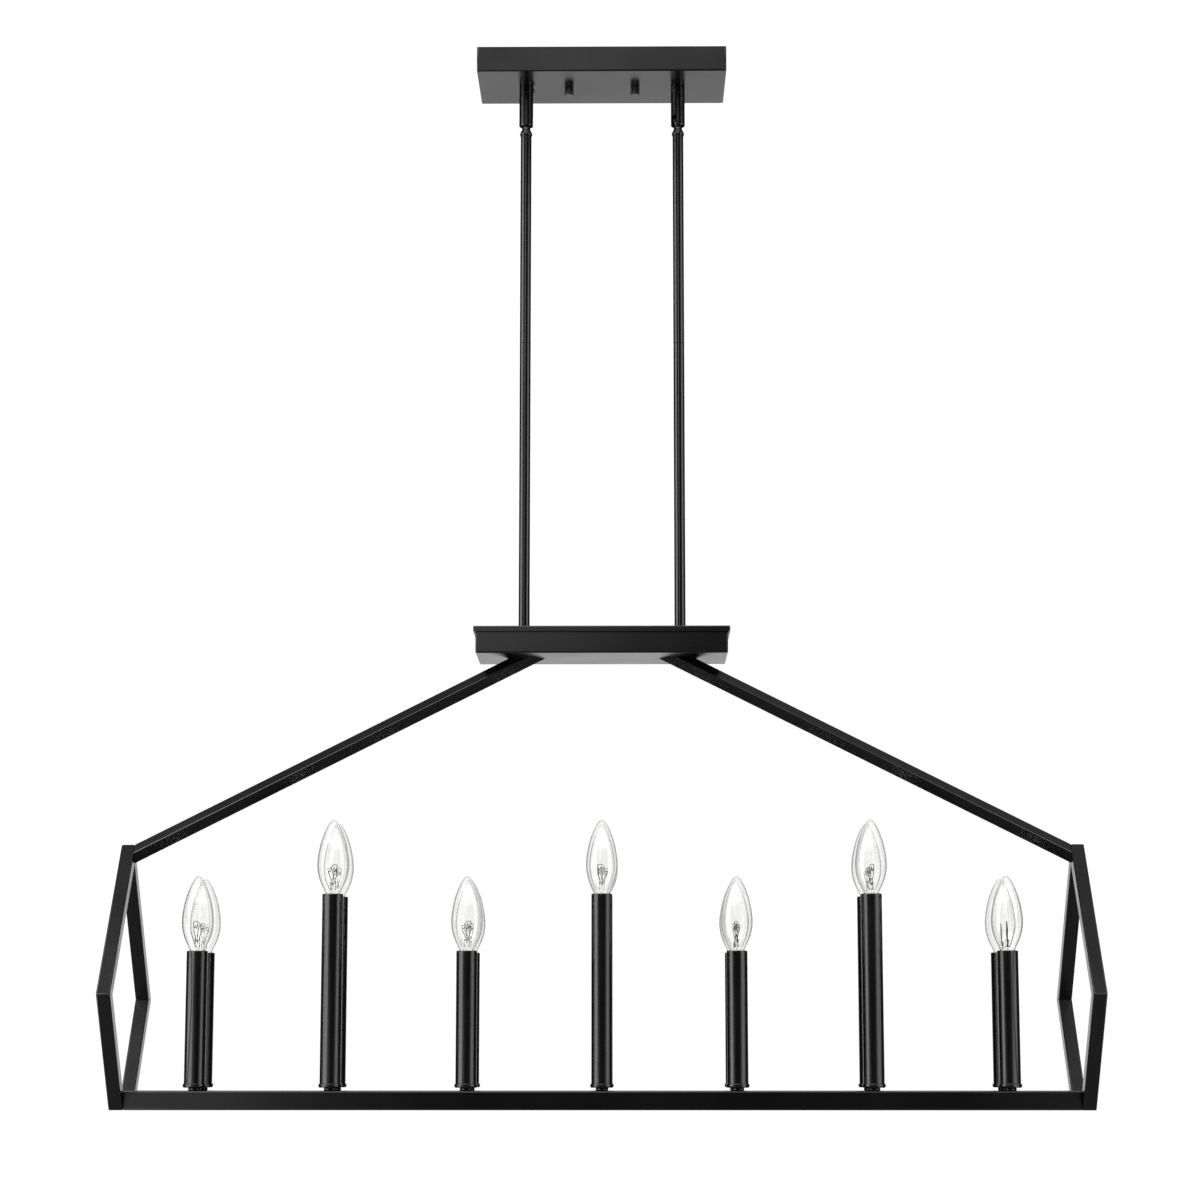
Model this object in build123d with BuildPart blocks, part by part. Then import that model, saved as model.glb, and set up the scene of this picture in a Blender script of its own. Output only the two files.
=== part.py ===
from build123d import *
from math import acos, asin, cos, pi, radians, sin, tan
import os

# A linear island pendant: a ceiling canopy, two hang-straight swivels, two sectional stems, a wiring
# housing, two sloping arms, two folded end frames and two rails that carry candle lights.
# The origin is the middle of the ceiling strap's top face, against the ceiling. +X runs along the
# pendant, +Y to its back and +Z up, so everything hangs below Z = 0. Sizes are in millimetres.
# Fourteen candle lights would make a heavy model, so round pieces that repeat have shown_sides flats,
# and bores, bulbs and round pieces that are hidden have hidden_sides.

# ---- driving numbers: flats of the lighter round pieces ----
shown_sides = 24
hidden_sides = 12

# ---- driving dimensions: ceiling fixing ----
strap_thickness = 2.0
strap_width = 22.0
ceiling_strap_length = 104.0
box_screw_near = 35.0  # half of the closest pair of box screws that the slots take
box_screw_far = 44.5  # half of the widest pair
box_slot_width = 5.0
canopy_strap_length = 100.0
eyelet_radius = 5.0
eyelet_bore = 4.0
eyelet_flange = 7.0
eyelet_flange_thickness = 0.8
canopy_screw_spacing = 76.2
canopy_screw_radius = 2.0
canopy_screw_grip = 6.5  # length of thread that reaches below the canopy
screw_nut_flats = 7.0
screw_nut_height = 3.2
thumb_nut_radius = 5.2
thumb_nut_height = 9.7
thumb_nut_edge = 0.8
thumb_nut_depth = 7.5

# ---- driving dimensions: canopy ----
canopy_length = 284.0
canopy_width = 114.0
canopy_height = 29.0
canopy_sheet = 1.2
canopy_corner = 1.5
canopy_edge = 0.7

# ---- driving dimensions: hang-straight swivels ----
stem_spacing = 175.0
pipe_thread_radius = 4.85  # the small lamp pipe thread that the stems, swivels and sockets share
pipe_bore = 3.2
pipe_nut_flats = 14.0
pipe_nut_height = 4.0
nipple_standout = 3.0  # thread that stands past its nut
nipple_reach = 8.6  # thread that enters the swivel sleeve
swivel_radius = 8.05
collar_height = 8.4
sleeve_height = 38.6
ball_radius = 6.4
ball_above_mouth = 5.0
ball_crown = 4.5  # height of the flat top of the ball above its centre
ball_bands = 4  # bands of flats between the ball's flat top and its neck
lip_radius = 6.0  # the narrowest part of the sleeve's mouth, which holds the ball
lip_depth = 3.0  # how far the lip lies below the ball's centre
seat_depth = 1.0  # how far the top of the cone that the ball hangs on lies below its centre
mouth_radius = 6.8
sleeve_shoulder = 24.0  # height above the ball's centre where the ball's chamber ends
key_slot_width = 4.0
key_slot_height = 11.5
key_radius = 1.4
key_tip = 7.8  # distance of the key's tip from the ball's centre
left_key_turn = 0.0
right_key_turn = 237.0
neck_radius = 4.9
neck_length = 9.4
dome_radius = 6.2
dome_start = 10.6
dome_end = 12.8
bead_radius = 7.15
bead_edge = 1.0
bead_end = 16.4
spigot_length = 10.0

# ---- driving dimensions: stems ----
stem_radius = 6.25
upper_stem_length = 80.7
middle_stem_length = 165.4
lower_stem_length = 332.5
joiner_length = 20.0

# ---- driving dimensions: housing ----
lid_height = 6.2
lid_sheet = 1.5
housing_length = 279.4
housing_width = 95.0
housing_height = 30.0  # from the lid's top to the underside
housing_sheet = 1.5
crossbar_width = 25.0
crossbar_thickness = 2.0
crossbar_flange = 12.0

# ---- driving dimensions: arms, end frames and rails ----
frame_length = 1067.0
arm_side = 14.0
arm_edge = 0.7
arm_wall = 1.5
arm_angle = 26.7
arm_root = 84.5  # distance from the middle to an arm's centre line at the housing's underside
tube_side = 15.0
tube_wall = 1.5
tube_edge = 0.6
shoulder_width = 268.0  # across the widest corners of an end frame
shoulder_height = 122.4  # above the underside of the rails
foot_width = 80.0
rail_side = 20.6
rail_wall = 1.5
rail_edge = 0.8
rail_spacing = 54.0
frame_height = 290.2  # from the underside of the rails to the top ridge of an end frame
wire_hole_radius = 3.5

# ---- driving dimensions: candle lights ----
candles_per_rail = 7
candle_pitch = 147.6
collar_flats = 13.0
collar_thickness = 3.4
stud_flats = 8.4
seat_radius = 12.65
seat_thickness = 4.2
sleeve_tube_radius = 11.5
sleeve_tube_wall = 1.0
short_candle_height = 151.0  # from the rail's top to the sleeve's top
tall_candle_height = 213.0
socket_radius = 9.3
socket_height = 34.0
socket_depth = 20.5
socket_setback = 3.0  # from the sleeve's top down to the socket's top
bulb_radius = 17.6
bulb_height = 82.0  # glass that stands above the sleeve
bulb_widest = 32.5  # height of the widest part above the sleeve's top
bulb_shoulder = 12.0  # height where the straight neck runs into the round body
bulb_shoulder_radius = 12.8
bulb_tip_radius = 2.6
bulb_lower_bands = 2  # bands of flats between the shoulder and the widest part
bulb_upper_bands = 3  # bands of flats between the widest part and the tip
cap_radius = 5.95

# ---- fits ----
thread_clearance = 0.05
ball_clearance = 0.3
screw_clearance = 0.3
lid_clearance = 1.0
slip_clearance = 0.15
cap_clearance = 0.2

# ---- levels and places that follow from them ----
canopy_screws_x = (-canopy_screw_spacing / 2, canopy_screw_spacing / 2)
stems_x = (-stem_spacing / 2, stem_spacing / 2)
key_turns = (left_key_turn, right_key_turn)
canopy_strap_z = -strap_thickness
straps_bottom = -2 * strap_thickness
canopy_bottom = -canopy_height
canopy_floor = canopy_bottom + canopy_sheet
sleeve_top = canopy_bottom - collar_height
mouth_z = sleeve_top - sleeve_height
ball_z = mouth_z + ball_above_mouth
chamber_radius = ball_radius + ball_clearance
thread_hole = pipe_thread_radius + thread_clearance
stems_top = ball_z - bead_end
upper_seam = stems_top - upper_stem_length
lower_seam = upper_seam - middle_stem_length
lid_top = lower_seam - lower_stem_length
lid_underside = lid_top - lid_sheet
housing_bottom = lid_top - housing_height
crossbar_bottom = lid_underside - crossbar_thickness
lid_length = housing_length + 2 * (lid_clearance + lid_sheet)
lid_width = housing_width + 2 * (lid_clearance + lid_sheet)
frame_half = frame_length / 2
frame_inside = frame_half - tube_side
arm_half_diagonal = (arm_side - arm_edge) / 2**0.5
ridge_z = (
    housing_bottom
    - (frame_inside - arm_root) * tan(radians(arm_angle))
    + arm_half_diagonal / cos(radians(arm_angle))
)
rail_bottom = ridge_z - frame_height
rail_top = rail_bottom + rail_side
rails_y = {"front": -rail_spacing / 2, "rear": rail_spacing / 2}
sides = {"left": -1, "right": 1}

os.makedirs("parts", exist_ok=True)


def save(part, label):
    """Name a finished piece and write it to its own file."""
    part.label = label
    export_step(part, f"parts/{label}.step")


def rod(places, z_top, z_bottom, radius, sides, bore=0):
    """Upright rods, or tubes if they have a bore, with flats just inside their circle."""
    with BuildSketch(Plane.XY.offset(z_top)) as outline:
        with Locations(*places):
            RegularPolygon(radius, sides)
            if bore:
                RegularPolygon(bore, hidden_sides, major_radius=False, mode=Mode.SUBTRACT)
    extrude(outline.sketch, amount=z_bottom - z_top)


def hex_rod(places, z_top, z_bottom, flats, bore=0, mode=Mode.ADD):
    """Upright hexagons with their corners along X."""
    with BuildSketch(Plane.XY.offset(z_top)) as outline:
        with Locations(*places):
            RegularPolygon(flats / 2, 6, major_radius=False)
            if bore:
                RegularPolygon(bore, hidden_sides, major_radius=False, mode=Mode.SUBTRACT)
    extrude(outline.sketch, amount=z_bottom - z_top, mode=mode)


def hole(places, z_top, depth, radius):
    """Upright holes with flats just outside their circle, sunk from a level."""
    with BuildSketch(Plane.XY.offset(z_top)) as outline:
        with Locations(*places):
            RegularPolygon(radius, hidden_sides, major_radius=False)
    extrude(outline.sketch, amount=-depth, mode=Mode.SUBTRACT)


def turned(outline, sides):
    """A solid about Z with flats, through points of radius and height listed from the bottom up.

    It is what slabs cut to that outline have in common when they are turned step by step about Z.
    """
    right = [(radius * cos(pi / sides), z) for radius, z in outline]
    left = [(-x, z) for x, z in reversed(right)]
    reach = max(radius for radius, z in outline)
    with BuildPart() as solid:
        for i in range(sides // 2):
            turn = (i + 0.5) * 360 / sides
            with BuildSketch(Plane.XZ.rotated((0, 0, turn))):
                Polygon(*right, *left, align=None)
            extrude(amount=reach, both=True, mode=Mode.INTERSECT if i else Mode.ADD)
    return solid.part


def side_plane(x, z, turn):
    """A plane through the axis of a swivel that looks out of its side, turned about Z."""
    out = (cos(radians(turn)), sin(radians(turn)), 0)
    return Plane(origin=(x, 0, z), x_dir=(-out[1], out[0], 0), z_dir=out)


# ---- ceiling fixing ----

with BuildPart() as ceiling_strap:
    with BuildSketch(Plane.XY):
        Rectangle(strap_width, ceiling_strap_length)
        with GridLocations(0, box_screw_near + box_screw_far, 1, 2):
            slot_run = box_screw_far - box_screw_near
            SlotCenterToCenter(slot_run, box_slot_width, rotation=90, mode=Mode.SUBTRACT)
    extrude(amount=-strap_thickness)
    hole([(0, 0)], 0, strap_thickness, eyelet_radius + thread_clearance)
save(ceiling_strap.part, "ceiling_strap")

screw_places = [(x, 0) for x in canopy_screws_x]

with BuildPart() as canopy_strap:
    with BuildSketch(Plane.XY.offset(canopy_strap_z)):
        Rectangle(canopy_strap_length, strap_width)
    extrude(amount=-strap_thickness)
    hole([(0, 0)], canopy_strap_z, strap_thickness, eyelet_radius + thread_clearance)
    hole(screw_places, canopy_strap_z, strap_thickness, canopy_screw_radius + thread_clearance)
save(canopy_strap.part, "canopy_strap")

with BuildPart() as strap_eyelet:
    eyelet_bottom = straps_bottom - eyelet_flange_thickness
    rod([(0, 0)], 0, straps_bottom, eyelet_radius, hidden_sides)
    rod([(0, 0)], straps_bottom, eyelet_bottom, eyelet_flange, hidden_sides)
    hole([(0, 0)], 0, -eyelet_bottom, eyelet_bore)
save(strap_eyelet.part, "strap_eyelet")

with BuildPart() as canopy_screws:
    screw_tip = canopy_bottom - canopy_screw_grip
    rod(screw_places, canopy_strap_z, screw_tip, canopy_screw_radius, hidden_sides)
save(canopy_screws.part, "canopy_screws")

with BuildPart() as canopy_screw_nuts:
    screw_hole = canopy_screw_radius + thread_clearance
    nut_bottom = straps_bottom - screw_nut_height
    hex_rod(screw_places, straps_bottom, nut_bottom, screw_nut_flats, screw_hole)
save(canopy_screw_nuts.part, "canopy_screw_nuts")

stem_places = [(x, 0) for x in stems_x]

with BuildPart() as canopy:
    with BuildSketch(Plane.XY):
        Rectangle(canopy_length, canopy_width)
        chamfer(vertices(), canopy_corner)
    extrude(amount=-canopy_height)
    chamfer(canopy.faces().sort_by(Axis.Z)[0].edges(), canopy_edge)
    with BuildSketch(Plane.XY):
        Rectangle(canopy_length - 2 * canopy_sheet, canopy_width - 2 * canopy_sheet)
    extrude(amount=canopy_floor, mode=Mode.SUBTRACT)
    hole(screw_places, canopy_floor, canopy_sheet, canopy_screw_radius + screw_clearance)
    hole(stem_places, canopy_floor, canopy_sheet, thread_hole)
save(canopy.part, "canopy")

with BuildPart() as canopy_thumb_nuts:
    thumb_nut_bottom = canopy_bottom - thumb_nut_height
    rod(screw_places, canopy_bottom, thumb_nut_bottom, thumb_nut_radius, shown_sides)
    chamfer(canopy_thumb_nuts.edges().group_by(Axis.Z)[0], thumb_nut_edge)
    hole(screw_places, canopy_bottom, thumb_nut_depth, canopy_screw_radius + thread_clearance)
save(canopy_thumb_nuts.part, "canopy_thumb_nuts")

# ---- hang-straight swivels ----

swivel_nut_top = canopy_floor + pipe_nut_height

with BuildPart() as swivel_nipples:
    nipple_top = swivel_nut_top + nipple_standout
    nipple_bottom = sleeve_top - nipple_reach
    rod(stem_places, nipple_top, nipple_bottom, pipe_thread_radius, hidden_sides, pipe_bore)
save(swivel_nipples.part, "swivel_nipples")

with BuildPart() as swivel_locknuts:
    hex_rod(stem_places, swivel_nut_top, canopy_floor, pipe_nut_flats, thread_hole)
save(swivel_locknuts.part, "swivel_locknuts")

with BuildPart() as swivel_collars:
    rod(stem_places, canopy_bottom, sleeve_top, swivel_radius, shown_sides, thread_hole)
save(swivel_collars.part, "swivel_collars")

# The sleeve's chamber closes in to a cone below the ball's middle, and the ball hangs on that cone.
chamber_outline = [
    (mouth_radius, -ball_above_mouth),
    (lip_radius, -lip_depth),
    (chamber_radius, -seat_depth),
    (chamber_radius, sleeve_shoulder),
]

with BuildPart() as swivel_sleeves:
    rod(stem_places, sleeve_top, mouth_z, swivel_radius, shown_sides)
    hole(stem_places, sleeve_top, sleeve_height, thread_hole)
    with Locations(*[(x, 0, ball_z) for x in stems_x]):
        add(turned(chamber_outline, hidden_sides), mode=Mode.SUBTRACT)
    slot_straight = key_slot_height - key_slot_width / 2
    for x, turn in zip(stems_x, key_turns):
        with BuildSketch(side_plane(x, mouth_z, turn)):
            Rectangle(key_slot_width, slot_straight, align=(Align.CENTER, Align.MIN))
            with Locations((0, slot_straight)):
                Circle(key_slot_width / 2)
        extrude(amount=swivel_radius + thread_clearance, mode=Mode.SUBTRACT)
save(swivel_sleeves.part, "swivel_sleeves")

# ---- hanging part: swivel balls and stems ----

neck_angle = acos(neck_radius / ball_radius)
crown_angle = asin(ball_crown / ball_radius)
ball_step = (crown_angle + neck_angle) / ball_bands
ball_angles = [i * ball_step - neck_angle for i in range(ball_bands + 1)]
ball_outline = [(ball_radius * cos(a), ball_radius * sin(a)) for a in ball_angles]
neck_outline = [
    (dome_radius, -bead_end),
    (bead_radius, bead_edge - bead_end),
    (bead_radius, -dome_end - bead_edge),
    (dome_radius, -dome_end),
    (dome_radius, -dome_start),
    (neck_radius, -neck_length),
    (neck_radius, ball_outline[0][1]),
]

with BuildPart() as swivel_balls:
    with Locations(*[(x, 0, ball_z) for x in stems_x]):
        add(turned(ball_outline, hidden_sides))
        add(turned(neck_outline, shown_sides))
    spigot_end = stems_top - spigot_length
    rod(stem_places, stems_top, spigot_end, pipe_thread_radius, hidden_sides)
    hole(stem_places, ball_z + ball_crown, ball_z + ball_crown - spigot_end, pipe_bore)
    for x, turn in zip(stems_x, key_turns):
        key_root = (pipe_bore + ball_radius) / 2
        with BuildSketch(side_plane(x, ball_z, turn).offset(key_root)):
            RegularPolygon(key_radius, hidden_sides)
        extrude(amount=key_tip - key_root)
save(swivel_balls.part, "swivel_balls")

stem_levels = {
    "upper_stems": (stems_top, upper_seam),
    "middle_stems": (upper_seam, lower_seam),
    "lower_stems": (lower_seam, lid_top),
}
for label, (top, bottom) in stem_levels.items():
    with BuildPart() as stems:
        rod(stem_places, top, bottom, stem_radius, shown_sides, thread_hole)
    save(stems.part, label)

with BuildPart() as stem_joiners:
    for seam in (upper_seam, lower_seam):
        half = joiner_length / 2
        rod(stem_places, seam + half, seam - half, pipe_thread_radius, hidden_sides, pipe_bore)
save(stem_joiners.part, "stem_joiners")

# ---- wiring housing ----

with BuildPart() as housing_lid:
    with BuildSketch(Plane.XY.offset(lid_top)):
        Rectangle(lid_length, lid_width)
    extrude(amount=-lid_height)
    with BuildSketch(Plane.XY.offset(lid_underside)):
        Rectangle(lid_length - 2 * lid_sheet, lid_width - 2 * lid_sheet)
    extrude(amount=lid_sheet - lid_height, mode=Mode.SUBTRACT)
    hole(stem_places, lid_top, lid_sheet, thread_hole)
save(housing_lid.part, "housing_lid")

with BuildPart() as housing_body:
    with BuildSketch(Plane.XY.offset(lid_underside)):
        Rectangle(housing_length, housing_width)
    extrude(amount=housing_bottom - lid_underside)
    with BuildSketch(Plane.XY.offset(lid_underside)):
        Rectangle(housing_length - 2 * housing_sheet, housing_width - 2 * housing_sheet)
    extrude(amount=housing_bottom + housing_sheet - lid_underside, mode=Mode.SUBTRACT)
    arm_places = [(sign * arm_root, 0) for sign in sides.values()]
    hole(arm_places, housing_bottom + housing_sheet, housing_sheet, wire_hole_radius)
save(housing_body.part, "housing_body")

with BuildPart() as housing_crossbar:
    crossbar_length = housing_length - 2 * housing_sheet
    with BuildSketch(Plane.XY.offset(lid_underside)):
        Rectangle(crossbar_length, crossbar_width)
    extrude(amount=-crossbar_flange)
    with BuildSketch(Plane.XY.offset(crossbar_bottom)):
        Rectangle(crossbar_length - 2 * crossbar_thickness, crossbar_width)
    extrude(amount=crossbar_thickness - crossbar_flange, mode=Mode.SUBTRACT)
    hole(stem_places, lid_underside, crossbar_thickness, thread_hole)
save(housing_crossbar.part, "housing_crossbar")

with BuildPart() as housing_locknuts:
    locknut_bottom = crossbar_bottom - pipe_nut_height
    hex_rod(stem_places, crossbar_bottom, locknut_bottom, pipe_nut_flats, thread_hole)
save(housing_locknuts.part, "housing_locknuts")

with BuildPart() as housing_nipples:
    nipple_top = lid_top + spigot_length
    nipple_bottom = locknut_bottom - nipple_standout
    rod(stem_places, nipple_top, nipple_bottom, pipe_thread_radius, hidden_sides, pipe_bore)
save(housing_nipples.part, "housing_nipples")

# ---- arms: square tube set on edge ----

for side, sign in sides.items():
    slope = radians(arm_angle)
    arm_axis = Vector(sign * cos(slope), 0, -sin(slope))
    arm_start = Vector(sign * arm_root, 0, housing_bottom)
    with BuildPart() as arm:
        with BuildSketch(Plane(origin=arm_start, x_dir=(0, 1, 0), z_dir=arm_axis)):
            Rectangle(arm_side, arm_side, rotation=45)
            chamfer(vertices(), arm_edge)
            bore_side = arm_side - 2 * arm_wall
            Rectangle(bore_side, bore_side, rotation=45, mode=Mode.SUBTRACT)
        extrude(amount=frame_half / cos(slope), both=True)
        split(bisect_by=Plane.XY.offset(housing_bottom), keep=Keep.BOTTOM)
        inward = Keep.BOTTOM if sign > 0 else Keep.TOP
        split(bisect_by=Plane.YZ.offset(sign * frame_inside), keep=inward)
    save(arm.part, f"{side}_arm")

# ---- end frames: square tube mitred into a tall loop ----

shoulder_z = rail_bottom + shoulder_height
frame_corners = {
    "ridge": Vector(0, ridge_z),
    "front_shoulder": Vector(-shoulder_width / 2, shoulder_z),
    "front_foot": Vector(-foot_width / 2, rail_bottom),
    "rear_foot": Vector(foot_width / 2, rail_bottom),
    "rear_shoulder": Vector(shoulder_width / 2, shoulder_z),
}
frame_tubes = {
    "front_upper_tube": ("ridge", "front_shoulder"),
    "front_lower_tube": ("front_shoulder", "front_foot"),
    "foot_tube": ("front_foot", "rear_foot"),
    "rear_lower_tube": ("rear_foot", "rear_shoulder"),
    "rear_upper_tube": ("rear_shoulder", "ridge"),
}


def mitre_corners(distance):
    """The corners of the end frame's outline after it is drawn in by a distance."""
    names = list(frame_corners)
    inner = {}
    for i, name in enumerate(names):
        here = frame_corners[name]
        ahead = (frame_corners[names[(i + 1) % len(names)]] - here).normalized()
        behind = (here - frame_corners[names[i - 1]]).normalized()
        left_ahead = Vector(-ahead.Y, ahead.X)
        left_behind = Vector(-behind.Y, behind.X)
        reach = distance / (1 + left_ahead.dot(left_behind))
        inner[name] = here + (left_ahead + left_behind) * reach
    return inner


def tube_face(start, end, near, far):
    """The side view of one mitred tube, between two distances in from the frame's outline."""
    outer, inner = mitre_corners(near), mitre_corners(far)
    Polygon(*[(p.X, p.Y) for p in (outer[start], outer[end], inner[end], inner[start])], align=None)


arm_end_z = housing_bottom - (frame_inside - arm_root) * tan(radians(arm_angle))
foot_wire_z = rail_bottom + tube_side / 2
wire_places = [(0, arm_end_z)] + [(y, foot_wire_z) for y in rails_y.values()]

for side, sign in sides.items():
    low_x = frame_inside if sign > 0 else -frame_half
    inner_wall_x = low_x if sign > 0 else low_x + tube_side - tube_wall
    for label, (start, end) in frame_tubes.items():
        with BuildPart() as tube:
            with BuildSketch(Plane.YZ.offset(low_x)):
                tube_face(start, end, 0, tube_side)
            extrude(amount=tube_side)
            chamfer(tube.edges().sort_by(SortBy.LENGTH)[-4:], tube_edge)
            with BuildSketch(Plane.YZ.offset(low_x + tube_wall)):
                tube_face(start, end, tube_wall, tube_side - tube_wall)
            extrude(amount=tube_side - 2 * tube_wall, mode=Mode.SUBTRACT)
            if label != "front_lower_tube" and label != "rear_lower_tube":
                with BuildSketch(Plane.YZ.offset(inner_wall_x)):
                    with Locations(*wire_places):
                        RegularPolygon(wire_hole_radius, hidden_sides, major_radius=False)
                extrude(amount=tube_wall, mode=Mode.SUBTRACT)
        save(tube.part, f"{side}_{label}")

# ---- rails ----

for row, y in rails_y.items():
    rail_middle_z = rail_bottom + rail_side / 2
    with BuildPart() as rail:
        with BuildSketch(Plane.YZ.offset(-frame_inside)):
            with Locations((y, rail_middle_z)):
                Rectangle(rail_side, rail_side)
                chamfer(vertices(), rail_edge)
        extrude(amount=2 * frame_inside)
        with BuildSketch(Plane.YZ.offset(rail_wall - frame_inside)):
            with Locations((y, rail_middle_z)):
                Rectangle(rail_side - 2 * rail_wall, rail_side - 2 * rail_wall)
        extrude(amount=2 * (frame_inside - rail_wall), mode=Mode.SUBTRACT)
        with BuildSketch(Plane.YZ.offset(-frame_inside)):
            with Locations((y, foot_wire_z)):
                RegularPolygon(wire_hole_radius, hidden_sides, major_radius=False)
        extrude(amount=2 * frame_inside, mode=Mode.SUBTRACT)
    save(rail.part, f"{row}_rail")

# ---- candle lights: every second one stands taller ----

collar_top = rail_top + collar_thickness
seat_top = collar_top + seat_thickness
candle_tops = {"short": rail_top + short_candle_height, "tall": rail_top + tall_candle_height}
first_candle_x = -(candles_per_rail - 1) / 2 * candle_pitch


def candle_places(row, kind):
    """Where the short or the tall candles of a rail stand."""
    first = 0 if kind == "short" else 1
    steps = range(first, candles_per_rail, 2)
    return [(first_candle_x + i * candle_pitch, rails_y[row]) for i in steps]


def socket_levels(kind):
    """The top and the bottom of a short or a tall candle's lampholder."""
    top = candle_tops[kind] - socket_setback
    return top, top - socket_height


def bulb_outline():
    """The bulb's radius at each height above the sleeve's top: its cap, its neck and its glass."""
    cap_bottom = -socket_setback - socket_depth
    widest = (bulb_radius, bulb_widest)
    with BuildLine():
        lower = TangentArc(widest, (bulb_shoulder_radius, bulb_shoulder), tangent=(0, -1))
    with BuildLine():
        upper = TangentArc(widest, (bulb_tip_radius, bulb_height), tangent=(0, 1))
    lower_points = [lower @ (1 - i / bulb_lower_bands) for i in range(bulb_lower_bands + 1)]
    upper_points = [upper @ (i / bulb_upper_bands) for i in range(1, bulb_upper_bands + 1)]
    return [
        (cap_radius, cap_bottom),
        (cap_radius, -socket_setback),
    ] + [(point.X, point.Y) for point in lower_points + upper_points]


bulb = turned(bulb_outline(), hidden_sides)

for row in rails_y:
    everywhere = candle_places(row, "short") + candle_places(row, "tall")

    with BuildPart() as studs:
        hex_rod(everywhere, collar_top, rail_top, collar_flats)
        for kind in candle_tops:
            hex_rod(candle_places(row, kind), socket_levels(kind)[1], collar_top, stud_flats)
    save(studs.part, f"{row}_candle_studs")

    with BuildPart() as seats:
        rod(everywhere, seat_top, collar_top, seat_radius, shown_sides)
        stud_hole = stud_flats + 2 * slip_clearance
        hex_rod(everywhere, seat_top, collar_top, stud_hole, mode=Mode.SUBTRACT)
    save(seats.part, f"{row}_candle_seats")

    for kind, top in candle_tops.items():
        with BuildPart() as sleeves:
            inner = sleeve_tube_radius - sleeve_tube_wall
            places = candle_places(row, kind)
            rod(places, top, seat_top, sleeve_tube_radius, shown_sides, inner)
        save(sleeves.part, f"{row}_{kind}_sleeves")

    with BuildPart() as sockets:
        for kind in candle_tops:
            socket_top, socket_bottom = socket_levels(kind)
            places = candle_places(row, kind)
            rod(places, socket_top, socket_bottom, socket_radius, hidden_sides)
            hole(places, socket_top, socket_depth, cap_radius + cap_clearance)
    save(sockets.part, f"{row}_lampholders")

    for kind, top in candle_tops.items():
        with BuildPart() as bulbs:
            with Locations(*[(x, y, top) for x, y in candle_places(row, kind)]):
                add(bulb)
        save(bulbs.part, f"{row}_{kind}_bulbs")
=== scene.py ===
from math import asin, atan2, cos, hypot, pi, radians, sin, tan

import bmesh
import bpy
from mathutils import Matrix, Vector


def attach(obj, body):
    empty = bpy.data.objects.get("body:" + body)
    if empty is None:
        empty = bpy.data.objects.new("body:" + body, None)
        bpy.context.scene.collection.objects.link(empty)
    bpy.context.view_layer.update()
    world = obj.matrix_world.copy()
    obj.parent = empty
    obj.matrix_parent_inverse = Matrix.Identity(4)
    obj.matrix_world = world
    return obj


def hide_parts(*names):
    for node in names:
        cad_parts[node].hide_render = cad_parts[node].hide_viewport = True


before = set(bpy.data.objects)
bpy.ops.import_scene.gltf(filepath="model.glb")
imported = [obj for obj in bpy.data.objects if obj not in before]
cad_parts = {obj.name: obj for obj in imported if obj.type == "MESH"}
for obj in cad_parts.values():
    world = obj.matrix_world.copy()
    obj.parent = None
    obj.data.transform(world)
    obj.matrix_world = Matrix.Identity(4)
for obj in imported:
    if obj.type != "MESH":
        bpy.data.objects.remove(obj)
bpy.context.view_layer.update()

# A linear island pendant in satin black. Pieces are modelled in millimetres, and finish_piece turns
# them into metres.
millimetre = 0.001

# ---- sizes that the pieces share with the CAD, in millimetres ----
strap_bottom = -4.0
canopy_size = (284.0, 114.0, 29.0)
canopy_sheet = 1.2
canopy_floor = -27.8
canopy_bottom = -29.0
screws_x = (-38.1, 38.1)
screw_ends = (-35.5, -2.0)
stems_x = (-87.5, 87.5)
nipple_ends = (-46.0, -20.8)
thread_radius = 4.85
pipe_bore = 3.2
sleeve_top = -37.4
mouth_z = -76.0
swivel_radius = 8.05
swivel_rim = 7.7
swivel_wall = 1.25
key_turns = (0.0, 237.0)    # degrees that each key slot is turned from +X
slot_half = 2.0
slot_end = mouth_z + 9.5    # where the slot's straight sides meet its round end
ball_z = -71.0
ball_radius = 6.4
neck_radius = 4.9
bead_radius = 7.15
stem_radius = 6.25
stem_bore = 4.9
stem_rim = 6.0
stems_top = -87.4
upper_seam = -168.1
lower_seam = -333.5
lid_top = -666.0
lid_size = (284.4, 100.0, 6.2)
housing_size = (279.4, 95.0, 28.5)
housing_bottom = -696.0
sheet = 1.5
arm_slope = radians(26.7)
arm_root = 84.5
arm_side = 14.0
frame_half = 533.5
tube_side = 15.0
frame_inside = frame_half - tube_side
shoulder_half = 134.0
foot_half = 40.0
rail_side = 20.6
rail_bottom = -1193.95
rail_top = rail_bottom + rail_side
shoulder_z = rail_bottom + 122.4
ridge_z = rail_bottom + 290.2
rows_y = {"front": -27.0, "rear": 27.0}
candle_pitch = 147.6
candles_per_rail = 7
collar_top = rail_top + 3.4
seat_top = collar_top + 4.2
seat_radius = 12.65
sleeve_radius = 11.5
sleeve_bore = 10.5
candle_tops = {"short": rail_top + 151.0, "tall": rail_top + 213.0}
socket_setback = 3.0
socket_height = 34.0
cup_bore = 4.4
pipe_thread = (0.94, 0.3)   # pitch and depth

# A ring of points this far from a round tube's ends stops the shading of its lips from running along it.
keep_straight = 1.6


# ---- mesh work ----

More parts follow.
